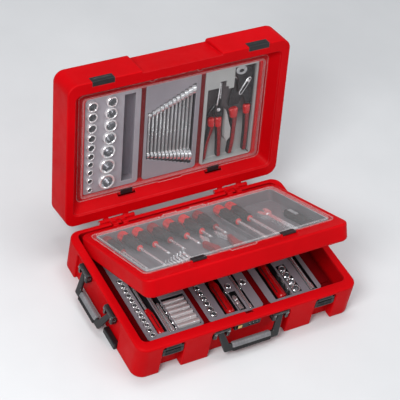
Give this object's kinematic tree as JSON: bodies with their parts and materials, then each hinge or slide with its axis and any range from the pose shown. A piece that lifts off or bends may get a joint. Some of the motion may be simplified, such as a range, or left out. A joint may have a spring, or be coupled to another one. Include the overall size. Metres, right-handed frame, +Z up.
{
  "type": "socket wrench set in case",
  "caption": "Open red three-level tool case with a lid and a raised tray on one rear hinge, holding sockets, ratchets, spanners, pliers and screwdrivers.",
  "frame": {"origin": "centre of the flat underside of the base, on the floor", "axes": "+X to the right along the long side, +Y to the rear towards the hinge, +Z up; the carrying handle and latches face -Y"},
  "size_m": [0.6294, 0.5895, 0.49],
  "materials": {
    "red_shell": "satin saturated red moulding with softly worn paler edges",
    "red_liner": "satin red inner moulding",
    "grey_tray": "cool mid-grey pressed plastic tray",
    "pale_tray": "paler grey pressed plastic tray",
    "chrome": "bright chrome-vanadium plating, lightly brushed",
    "red_grip": "red and black two-part tool grips",
    "black_plastic": "black moulded plastic",
    "grey_grip": "dark grey soft grip with paler outer edges",
    "pin_steel": "plain steel pins and screw heads",
    "dark_steel": "black-oxide tool steel, polished at the jaws",
    "brass_button": "polished brass",
    "clear_cover": "clear vacuum-formed plastic sheet, slightly hazy"
  },
  "bodies": {
    "base": {"base_shell": "red_shell", "base_liner": "red_liner", "base_tray_left": "grey_tray", "base_tray_middle": "grey_tray", "base_tray_right": "grey_tray", "base_small_sockets": "chrome", "base_deep_sockets": "chrome", "base_medium_sockets": "chrome", "base_bars_and_adaptors": "chrome", "spinner_grip": "red_grip", "spinner_shaft": "chrome", "ratchet_small_grip": "red_grip", "ratchet_small_head": "chrome", "ratchet_large_grip": "red_grip", "ratchet_large_head": "chrome", "front_handle_brackets": "black_plastic", "side_handle_brackets": "black_plastic", "bracket_screws": "pin_steel", "side_skid": "black_plastic", "steel_pins": "pin_steel", "lock_housing": "black_plastic"},
    "front_handle": {"front_handle_frame": "black_plastic", "front_handle_grip": "grey_grip"},
    "side_handle": {"side_handle_frame": "black_plastic", "side_handle_grip": "grey_grip"},
    "latch_left_lever": {"latch_left_lever": "black_plastic"},
    "latch_left_claw": {"latch_left_claw": "black_plastic"},
    "latch_right_lever": {"latch_right_lever": "black_plastic"},
    "latch_right_claw": {"latch_right_claw": "black_plastic"},
    "lock_wheel_left": {"lock_wheel_left": "black_plastic"},
    "lock_wheel_middle": {"lock_wheel_middle": "black_plastic"},
    "lock_wheel_right": {"lock_wheel_right": "black_plastic"},
    "lock_button": {"lock_button": "brass_button"},
    "mid_tray": {"mid_tray_shell": "red_shell", "mid_insert": "grey_tray", "screwdriver_grips": "red_grip", "screwdriver_blades": "chrome", "hex_key_holder": "red_grip", "hex_keys": "chrome", "snips_handles": "red_grip", "snips_heads": "chrome", "adjustable_spanner": "chrome", "utility_knife": "black_plastic"},
    "mid_cover": {"mid_cover": "clear_cover"},
    "mid_clip_left": {"mid_clip_left": "black_plastic"},
    "mid_clip_right": {"mid_clip_right": "black_plastic"},
    "lid": {"lid_shell": "red_shell", "lid_liner": "red_liner", "lid_keepers": "black_plastic", "lid_sockets": "chrome", "lid_tray_left": "grey_tray", "lid_tray_middle": "grey_tray", "lid_tray_right": "pale_tray", "combination_spanners": "chrome", "long_nose_pliers": "dark_steel", "pump_pliers": "dark_steel", "pliers_sleeves": "red_grip"},
    "lid_cover": {"lid_cover": "clear_cover"},
    "lid_clip_left": {"lid_clip_left": "black_plastic"},
    "lid_clip_right": {"lid_clip_right": "black_plastic"}
  },
  "joints": [
    {"name": "mid_tray_hinge", "type": "hinge", "parent": "base", "child": "mid_tray", "pos_m": [0, 0.205, 0.093], "axis": [-1, 0, 0], "range_deg": [-27.25, 0]},
    {"name": "lid_hinge", "type": "hinge", "parent": "mid_tray", "child": "lid", "pos_m": [0, 0.205, 0.093], "axis": [-1, 0, 0], "range_deg": [-73.65, 27.25]},
    {"name": "mid_cover_hinge", "type": "hinge", "parent": "mid_tray", "child": "mid_cover", "pos_m": [0, 0.16412, 0.1082], "axis": [-1, 0, 0], "range_deg": [0, 60]},
    {"name": "lid_cover_hinge", "type": "hinge", "parent": "lid", "child": "lid_cover", "pos_m": [0, 0.30362, 0.43696], "axis": [-1, 0, 0], "range_deg": [0, 80]},
    {"name": "mid_clip_left_hinge", "type": "hinge", "parent": "mid_tray", "child": "mid_clip_left", "pos_m": [-0.121, -0.1015, 0.24591], "axis": [1, 0, 0], "range_deg": [0, 75]},
    {"name": "mid_clip_right_hinge", "type": "hinge", "parent": "mid_tray", "child": "mid_clip_right", "pos_m": [0.121, -0.1015, 0.24591], "axis": [1, 0, 0], "range_deg": [0, 75]},
    {"name": "lid_clip_left_hinge", "type": "hinge", "parent": "lid", "child": "lid_clip_left", "pos_m": [-0.123, 0.2448, 0.13575], "axis": [1, 0, 0], "range_deg": [0, 75]},
    {"name": "lid_clip_right_hinge", "type": "hinge", "parent": "lid", "child": "lid_clip_right", "pos_m": [0.123, 0.2448, 0.13575], "axis": [1, 0, 0], "range_deg": [0, 75]},
    {"name": "latch_left_lever_hinge", "type": "hinge", "parent": "base", "child": "latch_left_lever", "pos_m": [-0.209, -0.1895, 0.0585], "axis": [1, 0, 0], "range_deg": [0, 100]},
    {"name": "latch_left_claw_hinge", "type": "hinge", "parent": "latch_left_lever", "child": "latch_left_claw", "pos_m": [-0.209, -0.1915, 0.074], "axis": [1, 0, 0], "range_deg": [0, 50]},
    {"name": "latch_right_lever_hinge", "type": "hinge", "parent": "base", "child": "latch_right_lever", "pos_m": [0.209, -0.1895, 0.0585], "axis": [1, 0, 0], "range_deg": [0, 100]},
    {"name": "latch_right_claw_hinge", "type": "hinge", "parent": "latch_right_lever", "child": "latch_right_claw", "pos_m": [0.209, -0.1915, 0.074], "axis": [1, 0, 0], "range_deg": [0, 50]},
    {"name": "front_handle_hinge", "type": "hinge", "parent": "base", "child": "front_handle", "pos_m": [0, -0.192, 0.073], "axis": [-1, 0, 0], "range_deg": [0, 75]},
    {"name": "side_handle_hinge", "type": "hinge", "parent": "base", "child": "side_handle", "pos_m": [-0.301, 0.018, 0.072], "axis": [0, 1, 0], "range_deg": [0, 75]},
    {"name": "lock_wheel_left_spin", "type": "hinge", "parent": "base", "child": "lock_wheel_left", "pos_m": [-0.004, -0.1904, 0.075], "axis": [1, 0, 0], "continuous": true},
    {"name": "lock_wheel_middle_spin", "type": "hinge", "parent": "base", "child": "lock_wheel_middle", "pos_m": [0.006, -0.1904, 0.075], "axis": [1, 0, 0], "continuous": true},
    {"name": "lock_wheel_right_spin", "type": "hinge", "parent": "base", "child": "lock_wheel_right", "pos_m": [0.016, -0.1904, 0.075], "axis": [1, 0, 0], "continuous": true},
    {"name": "lock_button_slide", "type": "slide", "parent": "base", "child": "lock_button", "axis": [-1, 0, 0], "range_m": [0, 0.005], "stiffness_N_per_m": 220, "springref_m": -0.002}
  ]
}
